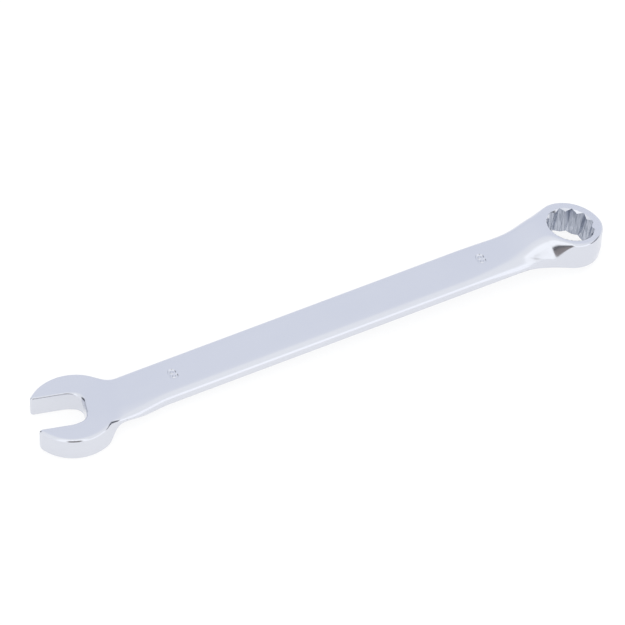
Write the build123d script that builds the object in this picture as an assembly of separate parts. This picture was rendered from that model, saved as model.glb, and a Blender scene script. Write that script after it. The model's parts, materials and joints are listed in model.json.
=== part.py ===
from build123d import *
import math
import os

# A combination wrench, drop-forged in one piece: an open jaw at one end, a twelve-point ring at the
# other, for the same size of nut. It is modelled along +X with the jaw's centre at the origin, and
# laid down at the end as it rests on a bench. Millimetres and degrees.

# Sizes that the nut sets
nut_across_flats = 8.0    # nut or bolt head that both ends turn
jaw_clearance = 0.1       # the jaw's flats stand this much wider than the nut
bore_clearance = 0.1      # and so do the flats of the twelve-point bore
centre_distance = 103.5   # jaw centre to ring centre, along the shank

# Open end
jaw_angle = 15.0          # between the slot and the shank
jaw_prong = 4.95          # widest part of a prong, from its flat outwards
tip_width = 0.69          # flat at the tip of a prong, beside the slot
throat_depth = 1.95       # from the jaw's centre to the bottom of the slot
throat_taper = 1.65       # how far each corner of the throat comes in from its flat
throat_fillet = 1.0
head_thickness = 4.5
head_edge = 0.25
open_neck_width = 9.0
open_neck_fillet = 2.5    # in the corner between the round head and the neck
open_neck_run = 5.0       # from the neck's start to the full shank

# Shank
shank_width = 9.8
shank_thickness = 3.0
shank_edge = 1.2

# Ring end
ring_wall = 1.97          # from the bore's corners to the outside
ring_height = 5.5
ring_tilt = 15.0          # the ring's plane slopes down, away from the shank
ring_drop = 0.87          # the ring's centre lies this far below the shank's middle
ring_edge = 0.6
ring_flare = 30.0         # radius of the hollow curve from the shank's side to the ring
ring_neck_gap = 0.3       # between the ring's rim and the section where the neck starts
ring_neck_run = 7.0       # from that section back to the full shank

# Size marks: a figure eight stamped into the shank near each end
mark_height = 2.6
mark_stroke = 0.4
mark_depth = 0.15
mark_from_jaw = 20.5      # from the jaw's centre to the first mark
mark_from_ring = 18.3     # from the ring's centre back to the second

# Derived sizes
jaw_half = (nut_across_flats + jaw_clearance) / 2
head_radius = jaw_half + jaw_prong
jaw_reach = math.sqrt(head_radius**2 - (jaw_half + tip_width) ** 2)  # from the centre to the tips
bore_flat = (nut_across_flats + bore_clearance) / 2
bore_corner = bore_flat / math.cos(math.radians(30))
bore_land = (bore_flat + bore_corner) / 2
ring_radius = bore_corner + ring_wall
ring_root = ring_radius + ring_neck_gap

JAW_PLANE = Plane((0, 0, 0), x_dir=Vector(-1, 0, 0).rotate(Axis.Z, -jaw_angle), z_dir=(0, 0, 1))
RING_PLANE = Plane(
    (centre_distance, 0, -ring_drop),
    x_dir=Vector(1, 0, 0).rotate(Axis.Y, ring_tilt),
    z_dir=Vector(0, 0, 1).rotate(Axis.Y, ring_tilt),
)


def ease(share):
    """A smooth step from 0 to 1, level at both ends."""
    return share * share * (3 - 2 * share)


def mix(start, end, share):
    return start + (end - start) * share


def flare_start(disc_radius, flare_radius, bar_half):
    """How far from a disc's centre, along a bar of that half width, the flare into the disc starts."""
    reach = disc_radius + flare_radius
    return math.sqrt(reach**2 - (bar_half + flare_radius) ** 2)


def flare_half(u, disc_radius, flare_radius, bar_half):
    """Half the bar's width at u from the disc's centre, on the arc tangent to the bar and the disc."""
    along = min(u - flare_start(disc_radius, flare_radius, bar_half), 0)
    return bar_half + flare_radius - math.sqrt(flare_radius**2 - along**2)


def flared_disc(disc_radius, flare_radius, bar_half, cut):
    """A disc and the root of its bar, along +X, flared into the disc and cut off square."""
    sizes = (disc_radius, flare_radius, bar_half)
    touch = flare_start(*sizes) * disc_radius / (disc_radius + flare_radius)
    upper = [(u, flare_half(u, *sizes)) for u in (touch, (touch + cut) / 2, cut)]
    lower = [(u, -v) for u, v in reversed(upper)]
    outline = [
        ThreePointArc(*upper),
        Line(upper[2], lower[0]),
        ThreePointArc(*lower),
        Line(lower[2], upper[0]),
    ]
    beyond = Pos(cut + disc_radius, 0) * Rectangle(2 * disc_radius, 2 * disc_radius)
    return make_face(outline) + Circle(disc_radius) - beyond


def bar_section(plane, width, thickness, edge):
    """A rounded rectangle across the shank; the plane's local x is the shank's width."""
    return plane * RectangleRounded(width, thickness, edge)


def cross_plane(x, z=0.0, tilt=0.0):
    """A plane across the shank at x, leaning with the ring by tilt degrees."""
    return Plane((x, 0, z), x_dir=(0, 1, 0), z_dir=Vector(1, 0, 0).rotate(Axis.Y, tilt))


def round_rims(body, half_height, radius, joined_end):
    """Rounds the top and bottom outlines of a flat body, apart from the end where the neck joins."""
    rims = [
        edge
        for edge in body.edges()
        if abs(abs(edge.center().Z) - half_height) < 1e-4 and abs(edge.center().X - joined_end) > 1e-4
    ]
    return fillet(rims, radius)


def jaw_slot():
    """The slot that takes the nut, with its throat, as a flat outline open past the tips."""
    corner = jaw_half - throat_taper
    beyond = 2 * jaw_reach
    outline = Polygon(
        (beyond, jaw_half),
        (0, jaw_half),
        (-throat_depth, corner),
        (-throat_depth, -corner),
        (0, -jaw_half),
        (beyond, -jaw_half),
        align=None,
    )
    throat = outline.vertices().sort_by(Axis.X)[:4]
    return fillet(throat, throat_fillet)


def open_head():
    """The round head with its two prongs, and the start of the neck."""
    plan = flared_disc(head_radius, open_neck_fillet, open_neck_width / 2, neck_x)
    tips = JAW_PLANE * Pos(jaw_reach + head_radius, 0) * Rectangle(2 * head_radius, 3 * head_radius)
    plan = plan - tips - JAW_PLANE * jaw_slot()
    body = extrude(plan, head_thickness / 2, both=True)
    return round_rims(body, head_thickness / 2, head_edge, neck_x)


def open_neck():
    """From the head's thickness and sharp edges to the shank's, in one smooth run."""
    sections = []
    for share in (0, 0.25, 0.5, 0.75, 1):
        eased = ease(share)
        sections.append(
            bar_section(
                cross_plane(neck_x + open_neck_run * share),
                mix(open_neck_width, shank_width, eased),
                mix(head_thickness, shank_thickness, eased),
                mix(head_edge, shank_edge, eased),
            )
        )
    return loft(sections)


def ring_body():
    """The ring's slab, level at the origin, with the flared root of the neck along -X."""
    plan = Rot(0, 0, 180) * flared_disc(ring_radius, ring_flare, shank_width / 2, ring_root)
    body = extrude(plan, ring_height / 2, both=True)
    return RING_PLANE * round_rims(body, ring_height / 2, ring_edge, -ring_root)


def ring_neck(ring):
    """From the shank up and over to the tilted ring: it widens, thickens and leans as it goes."""
    slope = Vector(1, 0, 0).rotate(Axis.Y, ring_tilt)
    end = RING_PLANE.from_local_coords(Vector(-ring_root, 0, 0))
    start = Vector(end.X - ring_neck_run, 0, 0)
    pull = ring_neck_run / 3
    path = Bezier(start, start + Vector(pull, 0, 0), end - slope * pull, end)
    sections = []
    for share in (0, 0.2, 0.4, 0.6, 0.8):
        eased = ease(share)
        point = path @ share
        u = ring_root + ring_neck_run * (1 - share)
        sections.append(
            bar_section(
                cross_plane(point.X, point.Z, ring_tilt * eased),
                2 * flare_half(u, ring_radius, ring_flare, shank_width / 2),
                mix(shank_thickness, ring_height, eased),
                mix(shank_edge, ring_edge, eased),
            )
        )
    sections.append(ring.faces().sort_by(Axis.X)[0])
    return loft(sections), start.X


def shank(start_x, end_x):
    return extrude(bar_section(cross_plane(start_x), shank_width, shank_thickness, shank_edge), end_x - start_x)


def twelve_point_bore():
    """Two hexagons a twelfth of a turn apart, broached through a round hole."""
    hexagon = RegularPolygon(bore_corner, 6)
    plan = Circle(bore_land) + hexagon + Rot(0, 0, 30) * hexagon
    return RING_PLANE * extrude(plan, ring_height, both=True)


def size_mark(x):
    """A figure eight, top towards +Y: two round grooves one above the other."""
    radius = (mark_height + mark_stroke) / 4
    loop = Circle(radius) - Circle(radius - mark_stroke)
    spacing = radius - mark_stroke / 2
    figure = Pos(0, spacing) * loop + Pos(0, -spacing) * loop
    return Pos(x, 0, shank_thickness / 2 - mark_depth) * extrude(figure, 2 * mark_depth)


def lay_down(wrench):
    """Turns the wrench until the prong tips and the ring's far rim touch the bench together."""
    tip = Vector(JAW_PLANE.from_local_coords(Vector(jaw_reach - head_edge, 0, -head_thickness / 2)))
    rim = RING_PLANE.from_local_coords(Vector(ring_radius - ring_edge, 0, ring_edge - ring_height / 2))
    across = rim - tip
    fall = math.atan2(-across.Z, across.X) + math.asin(ring_edge / across.length)
    laid = Rot(0, -math.degrees(fall), 0) * wrench
    box = laid.bounding_box()
    return Pos(-box.center().X, -box.center().Y, -box.min.Z) * laid


neck_x = flare_start(head_radius, open_neck_fillet, open_neck_width / 2)
ring = ring_body()
rising_neck, shank_end = ring_neck(ring)
open_end = open_head() + open_neck()
ring_end = rising_neck + ring
forging = open_end + shank(neck_x + open_neck_run, shank_end) + ring_end
forging -= twelve_point_bore()
forging -= size_mark(mark_from_jaw)
forging -= size_mark(centre_distance - mark_from_ring)
wrench = lay_down(forging)

os.makedirs("parts", exist_ok=True)
export_step(wrench, "parts/wrench.step")
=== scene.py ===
"""A chrome-plated combination wrench, forged in one piece, on a pale studio floor."""
import json
import math

import bpy
import numpy as np
import openvdb
from mathutils import Matrix, Vector


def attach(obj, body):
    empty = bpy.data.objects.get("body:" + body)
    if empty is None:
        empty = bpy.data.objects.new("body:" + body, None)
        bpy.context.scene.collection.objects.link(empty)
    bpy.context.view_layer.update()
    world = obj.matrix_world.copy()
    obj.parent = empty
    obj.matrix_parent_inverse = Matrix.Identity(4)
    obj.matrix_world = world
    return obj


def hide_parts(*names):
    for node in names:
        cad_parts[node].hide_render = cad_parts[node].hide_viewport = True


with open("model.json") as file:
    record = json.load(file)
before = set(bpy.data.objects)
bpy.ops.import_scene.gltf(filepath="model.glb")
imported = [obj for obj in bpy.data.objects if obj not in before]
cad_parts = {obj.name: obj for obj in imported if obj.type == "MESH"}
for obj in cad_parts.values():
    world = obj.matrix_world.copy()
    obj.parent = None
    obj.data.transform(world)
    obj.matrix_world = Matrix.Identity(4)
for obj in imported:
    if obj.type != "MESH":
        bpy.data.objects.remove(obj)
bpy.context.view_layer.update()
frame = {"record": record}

# The wrench is shaped in millimetres in its own straight frame, as it is forged: the jaw's centre at
# the origin, the shank along +X, the marked face up. place() then lays it where the CAD model lies.
NUT_GAP = 8.1             # across the jaw's flats
CENTRE_DISTANCE = 103.5   # jaw centre to ring centre

HEAD_RADIUS = 8.99
HEAD_THICKNESS = 4.5
HEAD_EDGE = 0.6
HEAD_END = (4.0, 8.0)     # along X, where what is special to the head fades out
HEAD_REACH = 20.0         # the prongs' tips are looked for no further along than this
JAW_ANGLE = 15.0
TIP_WIDTH = 0.62
TIP_REACH = 0.2           # how much further the far prong reaches than the near one
TIP_REACH_RUN = (-2, 4)   # across the head, where that reach grows
TIP_EDGE = 0.75           # the tips of the prongs are rounded over more than the rest of the head
TIP_CORNER = 0.4
THROAT_DEPTH = 1.95
THROAT_TAPER = 1.65
THROAT_FILLET = 0.9
SLOT_EDGE = 0.28
SLOT_NEARNESS = 0.8       # the slot's edge gives way to the outline's over this much either way
THROAT_EDGE = 0.7
THROAT_RUN = (-0.2, 1.4)  # behind the jaw's centre, where the slot's edge broadens to the throat's
SLOT_CORNER = 0.5         # softness of the upright edges where the slot meets the tips

CHEEK_RADIUS = 8.45       # the near cheek of the head is drawn in a little towards the shank
CHEEK_CENTRE = (-0.55, -0.46)
CHEEK_FILLET = 5.5
CHEEK_NECK = 5.8
CHEEK_RUN = 9.0
OPEN_NECK_HALF = 4.85
OPEN_NECK_FILLET = 3.0
OPEN_NECK_RUN = 5.5
NECK_START = 0.3          # behind the round head, where the neck's sides start
THINNING = (5.3, 9.3)     # where the head's thickness runs down to the shank's
THINNING_SKEW = 0.28      # that run lies further forward on the near side than on the far side

DRAFT = (0.5, 12.0)       # lean of the upper half of the outer walls, on the far and near sides
DRAFT_START = -0.5        # the height at which the walls start to lean
DRAFT_SIDE = (0, 5)       # towards the near side, where the far lean gives way to the near one

SHANK_WIDTH = 9.8
SHANK_THICKNESS = 3.0
SHANK_EDGE = 1.3
SHANK_EDGE_RUN = (6.0, 11.0)     # along X, where the head's upper edge broadens to the shank's
LOWER_EDGE = 1.0
LOWER_NECK_EDGE = 1.9     # the lower edge is broadest on the neck, between these two runs
LOWER_NECK_RUN = (3.0, 7.0)
LOWER_SHANK_RUN = (8.5, 13.0)
CROWN_FALL = 0.27         # how far the broad faces fall towards the edges
CROWN_FLAT = 2.8          # half the width that stays flat

RING_RADIUS = 6.637
RING_HEIGHT = 5.5
RING_TILT = 15.0
RING_DROP = 0.87
RING_EDGE = 0.6
RING_FLARE = 30.0
RING_APPROACH = (CENTRE_DISTANCE - 12, CENTRE_DISTANCE - 6)   # where the underside turns into the ring
UNDERSIDE_SOFTNESS = 0.8  # of the crease where the underside drops to the ring
NECK_EDGES = (2.2, 3.9)   # the upper edges of the neck are rounded over broadly, far and near
NECK_EDGE_SIDES = (-2, 2)
NECK_EDGE_GROWTH = (CENTRE_DISTANCE - 23, CENTRE_DISTANCE - 5.5)
NECK_EDGE_END = (CENTRE_DISTANCE - 5.5, CENTRE_DISTANCE - 1.0)
RISE_START = 14.0         # from the ring's centre back to where the upper face starts to climb
RISE_RADIUS = 16.5
SHOULDER = 2.0            # softness of the crest where that climb meets the ring

BORE_LEADS = (0.10, 0.50)  # chamfers at the lower and the upper mouth of the bore
BORE_LAND = 4.22
BORE_ROOT = 4.78          # the notches are relieved at their roots
BORE_POINTS = 12
BAR_SIDES = 6             # of the bars that cut the notches
BAR_RADIUS = 1.15
BAR_LENGTH = RING_HEIGHT * 1.6

MARK_HEIGHT = 2.7
MARK_STROKE = 0.6         # width of the groove at the surface
MARK_DEPTH = 0.2
MARK_ROUND = (MARK_STROKE**2 / 4 + MARK_DEPTH**2) / (2 * MARK_DEPTH)   # radius of the groove's bed
MARK_PLACES = (20.5, 85.2)
LOOP_STEPS = 48           # straight pieces round each loop of a mark, and round its groove
GROOVE_STEPS = 32

VOXEL = 0.21
MARGIN = 3                # voxels of air kept round the shape
AIR = 0.4                 # and this much more round the head
RING_AIR = 1.4            # and past the ring, which leans
HEIGHTS = (-6.0, 4.4)     # the lowest and highest level that is worked out
SLAB = 64                 # layers of voxels worked out at a time
SETTLING_STEPS = 4        # moves that bring each point of the mesh onto the exact skin

SKIN_NEARNESS = VOXEL * 0.25     # a face this near the skin, turned like the skin, belongs to it
SKIN_AGREEMENT = 0.8
BORE_NEARNESS = 0.05
BORE_UPRIGHT = 0.5


# ---------------------------------------------------------------- distance fields, in millimetres
def ease(share):
    """A smooth step from 0 to 1, level at both ends."""
    share = np.clip(share, 0.0, 1.0)
    return share * share * (3 - 2 * share)


def mix(start, end, share):
    return start + (end - start) * share


def soft_min(a, b, softness):
    """The lesser of two fields, with the crease between them rounded off."""
    overlap = np.maximum(softness - np.abs(a - b), 0.0) / softness
    return np.minimum(a, b) - overlap * overlap * softness / 4


def soft_max(a, b, softness):
    return -soft_min(-a, -b, softness)


def passing(x, start, end):
    """0 up to the start, 1 from the end on, and a smooth run between them."""
    return ease((x - start) / (end - start))


def rounded(a, b, radius):
    """The corner where two faces meet, rounded to a radius."""
    a, b = a + radius, b + radius
    return np.minimum(np.maximum(a, b), 0) + np.hypot(np.maximum(a, 0), np.maximum(b, 0)) - radius


def flared_disc(u, v, radius, flare, bar_half):
    """A disc at the origin and a bar along +u that flares into it on an arc tangent to both."""
    reach = radius + flare
    start = math.sqrt(reach**2 - (bar_half + flare) ** 2)
    touch = start * radius / reach
    v = np.abs(v)
    arc = flare - np.hypot(u - start, v - bar_half - flare)
    disc = np.hypot(u, v) - radius
    on_arc = (u > touch * 0.999) & (v < (bar_half + flare) * 0.999) & (v < u * (bar_half + flare) / start)
    return np.where(u > start, v - bar_half, np.where(on_arc, arc, disc))


def jaw_slot(x, y):
    """The slot for the nut, turned by the jaw angle, with its tapered throat. Negative inside."""
    turn = math.radians(JAW_ANGLE)
    along = -x * math.cos(turn) + y * math.sin(turn)
    across = np.abs(x * math.sin(turn) + y * math.cos(turn))
    half = NUT_GAP / 2
    length = math.hypot(THROAT_DEPTH, THROAT_TAPER)
    taper = ((across - half) * THROAT_DEPTH - along * THROAT_TAPER) / length
    throat = soft_max(taper, -along - THROAT_DEPTH, THROAT_FILLET)
    return soft_max(across - half, throat, THROAT_FILLET), along


def open_outline(x, y):
    """The head and the neck behind it. The near cheek is drawn in and blends more gently."""
    far = flared_disc(x, y, HEAD_RADIUS, OPEN_NECK_FILLET, OPEN_NECK_HALF)
    shift_x, shift_y = CHEEK_CENTRE
    near = flared_disc(x - shift_x, y - shift_y, CHEEK_RADIUS, CHEEK_FILLET, CHEEK_NECK + shift_y)
    behind = x - HEAD_RADIUS
    far_half = mix(OPEN_NECK_HALF, SHANK_WIDTH / 2, passing(behind, NECK_START, OPEN_NECK_RUN))
    near_half = mix(CHEEK_NECK, SHANK_WIDTH / 2, passing(behind, NECK_START, CHEEK_RUN))
    far = np.where(behind > NECK_START, y - far_half, far)
    near = np.where(behind > NECK_START, -y - near_half, near)
    return np.where(y > 0, far, near)


def plan(x, y, inset):
    """The outline from above, how far past the prongs' tips, how near the slot, and the slot's edge."""
    ring = flared_disc(CENTRE_DISTANCE - x, y, RING_RADIUS, RING_FLARE, SHANK_WIDTH / 2)
    outline = np.where(x < CENTRE_DISTANCE / 2, open_outline(x, y), ring) + inset
    slot, along = jaw_slot(x, y)
    near_reach = math.sqrt(HEAD_RADIUS**2 - (NUT_GAP / 2 + TIP_WIDTH) ** 2)
    past_tip = along - (near_reach + TIP_REACH * passing(y, *TIP_REACH_RUN))
    solid = soft_max(outline, past_tip, TIP_CORNER)
    by_slot = passing(-slot - solid, -SLOT_NEARNESS, SLOT_NEARNESS)
    slot_edge = mix(SLOT_EDGE, THROAT_EDGE, passing(-along, *THROAT_RUN))
    return soft_max(solid, -slot, SLOT_CORNER), past_tip, by_slot, slot_edge


def faces(x, y):
    """Heights of the upper and lower face above the shank's middle."""
    lean = math.radians(RING_TILT)
    slope = math.tan(lean)
    rise = RING_HEIGHT / 2
    top_x = CENTRE_DISTANCE + rise * math.sin(lean)
    top_z = rise * math.cos(lean) - RING_DROP
    low_x = CENTRE_DISTANCE - rise * math.sin(lean)
    low_z = -rise * math.cos(lean) - RING_DROP
    climb = np.maximum(x - CENTRE_DISTANCE + RISE_START, 0.0)
    thin = passing(x - THINNING_SKEW * y, *THINNING)
    half = mix(HEAD_THICKNESS, SHANK_THICKNESS, thin) / 2
    upper = soft_min(half + climb**2 / (2 * RISE_RADIUS), top_z + (top_x - x) * slope, SHOULDER)
    lower = soft_min(-half, low_z + (low_x - x) * slope, UNDERSIDE_SOFTNESS)
    plain = thin * (1 - passing(x, *RING_APPROACH))
    edge = np.maximum(np.abs(y) - CROWN_FLAT, 0) / (SHANK_WIDTH / 2 - CROWN_FLAT)
    crown = CROWN_FALL * plain * edge**2
    return upper - crown, lower + crown


def edge_radii(x, y):
    """How broadly the upper and the lower edges are rounded along the wrench."""
    upper = mix(HEAD_EDGE, SHANK_EDGE, passing(x, *SHANK_EDGE_RUN))
    neck = mix(*NECK_EDGES, passing(-y, *NECK_EDGE_SIDES))
    upper = mix(upper, neck, passing(x, *NECK_EDGE_GROWTH))
    upper = mix(upper, RING_EDGE, passing(x, *NECK_EDGE_END))
    lower = mix(HEAD_EDGE, LOWER_NECK_EDGE, passing(x, *LOWER_NECK_RUN))
    lower = mix(lower, LOWER_EDGE, passing(x, *LOWER_SHANK_RUN))
    lower = mix(lower, RING_EDGE, passing(x, *RING_APPROACH))
    return upper, lower


def ring_axes(x, z):
    """The same point in the ring's own frame: along its plane, and up its axis."""
    lean = math.radians(RING_TILT)
    dx, dz = x - CENTRE_DISTANCE, z + RING_DROP
    return dx * math.cos(lean) - dz * math.sin(lean), dx * math.sin(lean) + dz * math.cos(lean)


def forging(x, y, z):
    """Distance to the forging's skin, negative inside the steel; the notches are broached later."""
    u, w = ring_axes(x, z)
    leaning = passing(x, CENTRE_DISTANCE - RISE_START, CENTRE_DISTANCE - RING_RADIUS)
    draft = np.tan(np.radians(mix(*DRAFT, passing(-y, *DRAFT_SIDE))))
    head = 1 - passing(x, *HEAD_END)
    inset = draft * (leaning * np.maximum(w - DRAFT_START, 0) + head * np.maximum(z - DRAFT_START, 0))
    outline, past_tip, by_slot, slot_edge = plan(mix(x, CENTRE_DISTANCE + u, leaning), y, inset)
    upper, lower = faces(x, y)
    upper_edge, lower_edge = (mix(edge, slot_edge, by_slot) for edge in edge_radii(x, y))
    skin = np.maximum(rounded(outline, z - upper, upper_edge), rounded(outline, lower - z, lower_edge))
    tips = rounded(past_tip, np.abs(z) - HEAD_THICKNESS / 2, TIP_EDGE)
    skin = np.where(x < HEAD_REACH, np.maximum(skin, tips), skin)
    bore = BORE_LAND - np.hypot(u, y)
    lower_lead, upper_lead = BORE_LEADS
    lead = (bore + np.where(w > 0, upper_lead, lower_lead) + np.abs(w) - RING_HEIGHT / 2) / math.sqrt(2)
    return np.maximum(skin, np.maximum(bore, lead))


def gradient(points, step=0.002):
    """Unit normals of the skin at points near it, and how steeply the field rises there."""
    slopes = []
    for axis in range(3):
        shift = np.zeros(3)
        shift[axis] = step
        ahead = forging(*(points + shift).T)
        behind = forging(*(points - shift).T)
        slopes.append((ahead - behind) / (2 * step))
    slopes = np.stack(slopes, axis=1)
    size = np.linalg.norm(slopes, axis=1, keepdims=True)
    return slopes / np.maximum(size, 1e-6), size[:, 0]


def skinned():
    """The forging's skin as points and four-cornered faces."""
    low = np.array([-HEAD_RADIUS - AIR, -HEAD_RADIUS - AIR, HEIGHTS[0]])
    high = np.array([CENTRE_DISTANCE + RING_RADIUS + RING_AIR, HEAD_RADIUS + AIR, HEIGHTS[1]])
    counts = np.ceil((high - low) / VOXEL).astype(int) + MARGIN
    axes = [low[i] + VOXEL * np.arange(counts[i]) for i in range(3)]
    field = np.empty(counts, dtype=np.float32)
    for start in range(0, counts[0], SLAB):
        x, y, z = np.meshgrid(axes[0][start:start + SLAB], axes[1], axes[2], indexing="ij")
        field[start:start + SLAB] = forging(x, y, z)
    limit = VOXEL * MARGIN
    grid = openvdb.FloatGrid(background=limit)
    grid.copyFromArray(np.clip(field, -limit, limit))
    points, quads = grid.convertToQuads(isovalue=0.0)
    points = low + points.astype(float) * VOXEL
    for _ in range(SETTLING_STEPS):
        normals, steepness = gradient(points)
        points -= normals * (forging(*points.T) / np.maximum(steepness, 0.5))[:, None]
    return points, quads


def new_mesh(name, points, polygons):
    mesh = bpy.data.meshes.new(name)
    mesh.from_pydata(points.tolist(), [], polygons.tolist())
    mesh.update()
    return mesh


# ---------------------------------------------------------------- node trees
class Signal:
    """A socket that arithmetic can be done on: each operation adds its Math node."""

    def __init__(self, tree, socket):
        self.tree = tree
        self.socket = socket

    def maths(self, operation, *values):
        return self.tree.node("ShaderNodeMath", {"operation": operation}, dict(enumerate(values)))["Value"]

    def __add__(self, other):
        return self.maths("ADD", self, other)

    def __radd__(self, other):
        return self.maths("ADD", other, self)

    def __sub__(self, other):
        return self.maths("SUBTRACT", self, other)

    def __rsub__(self, other):
        return self.maths("SUBTRACT", other, self)

    def __mul__(self, other):
        return self.maths("MULTIPLY", self, other)

    def __rmul__(self, other):
        return self.maths("MULTIPLY", other, self)

    def __truediv__(self, other):
        return self.maths("DIVIDE", self, other)

    def __rtruediv__(self, other):
        return self.maths("DIVIDE", other, self)

    def __pow__(self, other):
        return self.maths("POWER", self, other)

    def step(self, low, high):
        """Rises smoothly from 0 at low to 1 at high."""
        spread = {"Value": self, "From Min": low, "From Max": high}
        return self.tree.node("ShaderNodeMapRange", {"interpolation_type": "SMOOTHSTEP"}, spread)["Result"]


class Tree:
    """A node tree of any kind, with one way to add a node to it."""

    def __init__(self, tree):
        self.tree = tree

    def node(self, kind, settings=None, sockets=None):
        """Adds a node: its settings first, then values or links for its sockets. Gives its outputs."""
        made = self.tree.nodes.new(kind)
        for name, value in (settings or {}).items():
            setattr(made, name, value)
        for key, value in (sockets or {}).items():
            live = made.inputs if isinstance(key, int) else {s.name: s for s in made.inputs if s.enabled}
            if isinstance(value, Signal):
                self.tree.links.new(value.socket, live[key])
            else:
                live[key].default_value = value
        return {s.name: Signal(self, s) for s in made.outputs if s.enabled}

    def blend(self, share, start, end):
        """A colour between two others."""
        sockets = {"Factor": share, "A": start, "B": end}
        return self.node("ShaderNodeMix", {"data_type": "RGBA"}, sockets)["Result"]

    def vector(self, **sockets):
        return self.node("ShaderNodeCombineXYZ", sockets=sockets)["Vector"]


class Maker(Tree):
    """A Geometry Nodes tree with named number inputs that makes one mesh."""

    def __init__(self, name):
        super().__init__(bpy.data.node_groups.new(name, "GeometryNodeTree"))
        self.tree.interface.new_socket("Geometry", in_out="OUTPUT", socket_type="NodeSocketGeometry")
        self.values = {}

    def sizes(self, **values):
        """Names the tree's inputs and gives their sockets."""
        for name, value in values.items():
            kind = "NodeSocketInt" if isinstance(value, int) else "NodeSocketFloat"
            socket = self.tree.interface.new_socket(name, in_out="INPUT", socket_type=kind)
            self.values[socket.identifier] = value
        given = self.node("NodeGroupInput")
        return [given[name] for name in values]

    def finished(self, geometry, material):
        """Ends the tree, runs it on an empty mesh and gives the result as a plain mesh."""
        real = self.node("GeometryNodeRealizeInstances", sockets={"Geometry": geometry})["Geometry"]
        dressed = self.node("GeometryNodeSetMaterial", sockets={"Geometry": real, "Material": material})
        self.node("NodeGroupOutput", sockets={"Geometry": dressed["Geometry"]})
        holder = bpy.data.objects.new(self.tree.name, bpy.data.meshes.new(self.tree.name))
        bpy.context.scene.collection.objects.link(holder)
        modifier = holder.modifiers.new("made", "NODES")
        modifier.node_group = self.tree
        for identifier, value in self.values.items():
            modifier[identifier] = value
        bpy.context.view_layer.update()
        evaluated = holder.evaluated_get(bpy.context.evaluated_depsgraph_get())
        mesh = bpy.data.meshes.new_from_object(evaluated)
        holder.modifiers.clear()
        bpy.data.objects.remove(holder)
        return mesh


# ---------------------------------------------------------------- cutters made with Geometry Nodes
def broach(material):
    """Twelve six-sided bars in a circle: their outer corners cut the notches of the bore."""
    tree = Maker("broach")
    points, root_radius, bar_radius, depth = tree.sizes(
        points=BORE_POINTS, root_radius=BORE_ROOT, bar_radius=BAR_RADIUS, depth=BAR_LENGTH)
    bar = tree.node("GeometryNodeMeshCylinder", {"fill_type": "NGON"},
                    {"Vertices": BAR_SIDES, "Radius": bar_radius, "Depth": depth})["Mesh"]
    circle = tree.node("GeometryNodeMeshCircle", None,
                       {"Vertices": points, "Radius": root_radius - bar_radius})["Mesh"]
    turn = tree.node("GeometryNodeInputIndex")["Index"] * (2 * math.pi) / points
    ring = tree.node("GeometryNodeInstanceOnPoints", None,
                     {"Points": circle, "Instance": bar, "Rotation": tree.vector(Z=turn)})
    return tree.finished(ring["Instances"], material)


def mark_loops(material, row):
    """One row of wire loops, the upper or the lower loop of the figure eight at each mark."""
    tree = Maker("mark_loops")
    loop_radius, wire_radius, first, spacing = tree.sizes(
        loop_radius=(MARK_HEIGHT - MARK_STROKE) / 4, wire_radius=MARK_ROUND,
        first_mark=MARK_PLACES[0], mark_spacing=MARK_PLACES[1] - MARK_PLACES[0])
    loop = tree.node("GeometryNodeCurvePrimitiveCircle", None,
                     {"Resolution": LOOP_STEPS, "Radius": loop_radius})["Curve"]
    wire = tree.node("GeometryNodeCurvePrimitiveCircle", None,
                     {"Resolution": GROOVE_STEPS, "Radius": wire_radius})["Curve"]
    swept = tree.node("GeometryNodeCurveToMesh", None, {"Curve": loop, "Profile Curve": wire})["Mesh"]
    start = tree.vector(X=first, Y=row * loop_radius)
    places = tree.node("GeometryNodeMeshLine", None,
                       {"Count": 2, "Start Location": start, "Offset": tree.vector(X=spacing)})
    marks = tree.node("GeometryNodeInstanceOnPoints", None, {"Points": places["Mesh"], "Instance": swept})
    return tree.finished(marks["Instances"], material)


def cut(piece, cutter_mesh, matrix):
    """Takes the cutter away from the piece for good."""
    cutter_mesh.transform(matrix)
    cutter = bpy.data.objects.new("cutter", cutter_mesh)
    bpy.context.scene.collection.objects.link(cutter)
    modifier = piece.modifiers.new("cut", "BOOLEAN")
    modifier.operation = "DIFFERENCE"
    modifier.solver = "MANIFOLD"
    modifier.object = cutter
    bpy.context.view_layer.update()
    evaluated = piece.evaluated_get(bpy.context.evaluated_depsgraph_get())
    mesh = bpy.data.meshes.new_from_object(evaluated)
    piece.modifiers.clear()
    piece.data = mesh
    bpy.data.objects.remove(cutter)


# ---------------------------------------------------------------- the wrench
def bore_mount():
    """The mount in the middle of the ring's bore."""
    return next(mount for mount in frame["record"]["mounts"] if mount["name"] == "ring_bore")


def place():
    """From the wrench's own frame in millimetres to the part's frame in metres."""
    ring = bore_mount()
    axis = Vector(ring["axis"])
    fall = math.radians(RING_TILT) - math.atan2(axis.x, axis.z)
    turn = Matrix.Rotation(-fall, 4, "Y")
    scale = Matrix.Scale(0.001, 4)
    centre = turn @ scale @ Vector((CENTRE_DISTANCE, 0, -RING_DROP))
    return Matrix.Translation(Vector(ring["pos_m"]) - centre) @ turn @ scale


def wrench(material):
    points, quads = skinned()
    mesh = new_mesh("wrench_forging", points, quads)
    mesh.materials.append(material)
    piece = bpy.data.objects.new("wrench_forging", mesh)
    bpy.context.scene.collection.objects.link(piece)
    lean = Matrix.Rotation(math.radians(RING_TILT), 4, "Y")
    at_ring = Matrix.Translation((CENTRE_DISTANCE, 0, -RING_DROP)) @ lean
    cut(piece, broach(material), at_ring)
    above = SHANK_THICKNESS / 2 + MARK_ROUND - MARK_DEPTH
    for row in (1, -1):
        cut(piece, mark_loops(material, row), Matrix.Translation((0, 0, above)))
    shade(piece.data)
    return piece


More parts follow.
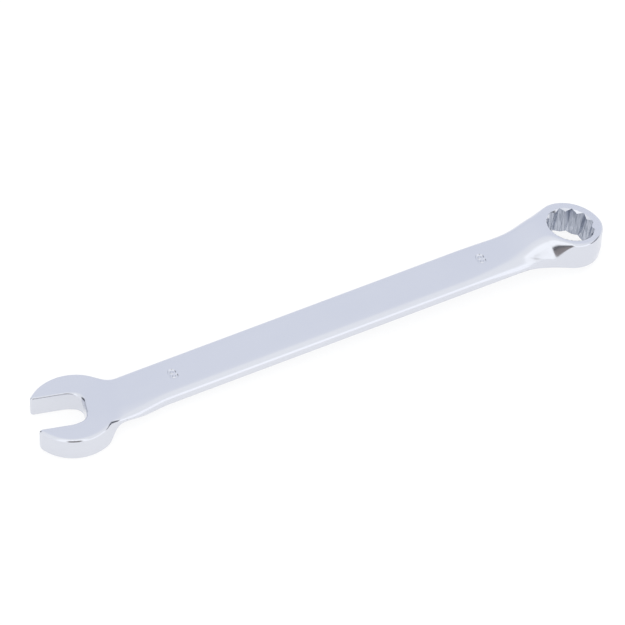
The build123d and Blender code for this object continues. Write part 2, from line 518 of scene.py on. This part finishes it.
def read(items, name, width=1, kind=float):
    """One property of all the items, with a row for each item where it has several numbers."""
    values = np.empty(len(items) * width, dtype=kind)
    items.foreach_get(name, values)
    return values.reshape(-1, width) if width > 1 else values


def note_bore(mesh, centres, flat):
    """Notes which faces are walls of the bore, so that the chrome is duller there: rougher, and painted
    darker as painted shade in the bore.
    """
    tilt_x, tilt_z = math.sin(math.radians(RING_TILT)), math.cos(math.radians(RING_TILT))
    upright = np.abs(flat[:, 0] * tilt_x + flat[:, 2] * tilt_z) < BORE_UPRIGHT
    u, _ = ring_axes(centres[:, 0], centres[:, 2])
    bore = (np.hypot(u, centres[:, 1]) < BORE_ROOT + BORE_NEARNESS) & upright
    mesh.attributes.new("bore", "FLOAT", "FACE").data.foreach_set("value", bore.astype(np.float32))


def shade(mesh):
    """Gives the skin its exact normals and leaves the cut walls flat, then lays the wrench down."""
    normals, _ = gradient(read(mesh.vertices, "co", 3))
    centres = read(mesh.polygons, "center", 3)
    flat = read(mesh.polygons, "normal", 3)
    slopes, _ = gradient(centres)
    agreement = (slopes * flat).sum(1)
    skin = (np.abs(forging(*centres.T)) < SKIN_NEARNESS) & (agreement > SKIN_AGREEMENT)
    corner_normals = normals[read(mesh.loops, "vertex_index", kind=int)]
    corner_face = np.repeat(np.arange(len(flat)), read(mesh.polygons, "loop_total", kind=int))
    chosen = np.where(skin[corner_face][:, None], corner_normals, flat[corner_face])
    note_bore(mesh, centres, flat)
    matrix = place()
    mesh.transform(matrix)
    turned = chosen @ np.array(matrix.to_3x3().normalized()).T
    mesh.shade_smooth()
    mesh.normals_split_custom_set(turned.tolist())


# ---------------------------------------------------------------- materials
WHITE = (1, 1, 1, 1)
PLATE_TONES = ((0.702, 0.718, 0.776, 1), (0.688, 0.705, 0.767, 1))   # clear, and under a little haze
BORE_SHADE_AND_STREAK_TONES = ((0.34, 0.37, 0.44, 1), (0.54, 0.57, 0.65, 1))      # the streaks of the bore, on walls painted darker as painted shade
STREAK_SCALE = (2600, 2600, 60)                                      # per metre: fine across, long along


def surface(name):
    """A new material's tree and its Principled shader."""
    material = bpy.data.materials.new(name)
    material.use_nodes = True
    return material, Tree(material.node_tree), material.node_tree.nodes["Principled BSDF"]


def chrome():
    """Bright chrome over polished steel: a cool mirror softened by buffing haze and faint ripples."""
    material, tree, shader = surface("chrome_plate")
    place_on = tree.node("ShaderNodeTexCoord")["Object"]

    def noise(size, detail=3.0, along=1.0):
        """Noise whose blotches are about so many millimetres across, and longer along the shank."""
        scale = (1000 / size / along, 1000 / size, 1000 / size)
        spot = tree.node("ShaderNodeVectorMath", {"operation": "MULTIPLY"}, {0: place_on, 1: scale})["Vector"]
        return tree.node("ShaderNodeTexNoise", None, {"Vector": spot, "Scale": 1.0, "Detail": detail})["Fac"]

    def broach_marks():
        """Streaks that run along the bore."""
        along_x, _, along_z = bore_mount()["axis"]
        turn = (0, -math.atan2(along_x, along_z), 0)
        turned = tree.node("ShaderNodeMapping", None,
                           {"Vector": place_on, "Rotation": turn, "Scale": STREAK_SCALE})["Vector"]
        return tree.node("ShaderNodeTexNoise", None, {"Vector": turned, "Scale": 1.0, "Detail": 2.0})["Fac"]

    buffing = noise(0.35, detail=2.0, along=18.0)
    grain = noise(0.12)
    ripple = noise(5.0, detail=1.0, along=1.6)
    cloud = noise(9.0, detail=4.0, along=2.0).step(0.35, 0.70)
    bore = tree.node("ShaderNodeAttribute", {"attribute_name": "bore"})["Fac"]
    plated = tree.blend(cloud, *PLATE_TONES)
    # painted shade: the bore's walls take much darker tones than the plate, with the broach streaks running
    # through them
    bore_shade_and_streaks = tree.blend(broach_marks().step(0.35, 0.65), *BORE_SHADE_AND_STREAK_TONES)
    colour = tree.blend(bore, plated, bore_shade_and_streaks)
    roughness = 0.13 + 0.05 * cloud + 0.05 * (buffing - 0.5) + 0.03 * (grain - 0.5) + 0.12 * bore
    height = 0.010 * ripple + 0.0005 * buffing + 0.0003 * grain
    bump = tree.node("ShaderNodeBump", None, {"Height": height, "Distance": 0.001, "Strength": 1.0})["Normal"]
    shader.inputs["Metallic"].default_value = 1.0
    for name, value in (("Base Color", colour), ("Roughness", roughness), ("Normal", bump)):
        tree.tree.links.new(value.socket, shader.inputs[name])
    return material


# ---------------------------------------------------------------- studio
FLOOR_REACH = 3.0
FLOOR_TONE = (0.26, 0.26, 0.26, 1)
FLOOR_GLOW = 0.80

# The tent's lights and gaps, as azimuth, half the width, and elevation of the foot and of the top, in
# degrees out of the wrench: azimuth 0 is the back and 90 the ring end. The sides and tops are blurred.
BRIGHTEST = (-155, 20)                  # where the cloth is brightest: azimuth and elevation
CLOTH_TONES = ((0.886, 0.912, 0.982, 1), (1.05, 1.06, 1.07, 1))
PANELS = (((135, 38, 0, 25), (1.27, 1.28, 1.30, 1)),      # low: the line along the shank's edge
          ((-151, 40, 8, 76), (1.27, 1.28, 1.28, 1)))     # tall: the sheen on the neck and the head's rim
ONLOOKER = (-156, 17, 9, 47)            # the dark patches on the ring's neck and the head's rim
ONLOOKER_TONES = ((0.30, 0.275, 0.27, 1), (0.05, 0.055, 0.07, 1))    # below, and above
GAPS = (((104, 18, 3, 18), (0.09, 0.095, 0.115, 1)),      # the dashes on the near neck and the ring's rim
        ((-50, 18, 2, 38), (0.08, 0.085, 0.10, 1)))       # the spots in the throat and on the prong tips
SIDE_BLUR = 3
TOP_BLUR = 4

CAMERA_AZIMUTH = -26.368
CAMERA_ELEVATION = 45.581
CAMERA_DISTANCE = 4.74025
CAMERA_AIM = (-0.000315, 0.0017517, 0.0057008)
CAMERA_LENS = 1450.9


def floor():
    """A white light table: it glows evenly, so what stands on it casts only a faint shadow."""
    reach = FLOOR_REACH
    mesh = bpy.data.meshes.new("floor")
    mesh.from_pydata([(-reach, -reach, 0), (reach, -reach, 0), (reach, reach, 0), (-reach, reach, 0)], [],
                     [(0, 1, 2, 3)])
    slab = bpy.data.objects.new("floor", mesh)
    bpy.context.scene.collection.objects.link(slab)
    material, _, shader = surface("light_table")
    shader.inputs["Base Color"].default_value = FLOOR_TONE
    shader.inputs["Roughness"].default_value = 0.9
    shader.inputs["Specular IOR Level"].default_value = 0.0
    shader.inputs["Emission Color"].default_value = WHITE
    shader.inputs["Emission Strength"].default_value = FLOOR_GLOW
    mesh.materials.append(material)


def heading(azimuth, elevation):
    """A direction out of the wrench: azimuth 0 is the back, 90 the ring end, elevation is up."""
    turn, lift = math.radians(azimuth), math.radians(elevation)
    return (math.sin(turn) * math.cos(lift), math.cos(turn) * math.cos(lift), math.sin(lift))


def light_tent():
    """White cloth all round, brighter in front, with bright panels and dark gaps standing in it."""
    world = bpy.data.worlds.new("light_tent")
    bpy.context.scene.world = world
    world.use_nodes = True
    tree = Tree(world.node_tree)
    background = world.node_tree.nodes["Background"]
    sight = tree.node("ShaderNodeTexCoord")["Generated"]
    parts = tree.node("ShaderNodeSeparateXYZ", None, {"Vector": sight})
    height = parts["Z"]
    level = (1.0001 - height * height) ** 0.5   # never quite 0, straight up or down

    def sine(angle):
        return math.sin(math.radians(angle))

    def standing(azimuth, half_width, low, high):
        """1 on something that stands in the tent: its direction, half its width, its foot and its top."""
        turn = math.radians(azimuth)
        ahead = (parts["X"] * math.sin(turn) + parts["Y"] * math.cos(turn)) / level
        wide = ahead.step(math.cos(math.radians(half_width + SIDE_BLUR)),
                          math.cos(math.radians(half_width - SIDE_BLUR)))
        above = height.step(sine(low - SIDE_BLUR), sine(low + SIDE_BLUR))
        below = 1 - height.step(sine(high - TOP_BLUR), sine(high + TOP_BLUR))
        return wide * above * below

    ahead = tree.node("ShaderNodeVectorMath", {"operation": "DOT_PRODUCT"},
                      {0: sight, 1: heading(*BRIGHTEST)})["Value"]
    tent = tree.blend(ahead.step(-0.50, 0.50), *CLOTH_TONES)
    for panel, tone in PANELS:
        tent = tree.blend(standing(*panel), tent, tone)
    onlooker = tree.blend(height.step(0.45, 0.75), *ONLOOKER_TONES)
    tent = tree.blend(standing(*ONLOOKER), tent, onlooker)
    for gap, tone in GAPS:
        tent = tree.blend(standing(*gap), tent, tone)
    tree.tree.links.new(tent.socket, background.inputs["Color"])


def camera():
    """A long lens from the front left, looking down at the marked face."""
    azimuth, elevation = math.radians(CAMERA_AZIMUTH), math.radians(CAMERA_ELEVATION)
    aim = Vector(CAMERA_AIM)
    back = Vector((math.sin(azimuth) * math.cos(elevation), -math.cos(azimuth) * math.cos(elevation),
                   math.sin(elevation)))
    data = bpy.data.cameras.new("camera")
    data.lens = CAMERA_LENS
    data.sensor_width = 36
    data.clip_end = 20
    seat = bpy.data.objects.new("camera", data)
    seat.location = aim + back * CAMERA_DISTANCE
    seat.rotation_mode = "QUATERNION"
    seat.rotation_quaternion = (-back).to_track_quat("-Z", "Y")
    bpy.context.scene.collection.objects.link(seat)
    bpy.context.scene.camera = seat


bpy.context.scene.view_settings.view_transform = "Standard"
camera()
floor()
light_tent()
body = wrench(chrome())
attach(body, "root")
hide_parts("wrench")
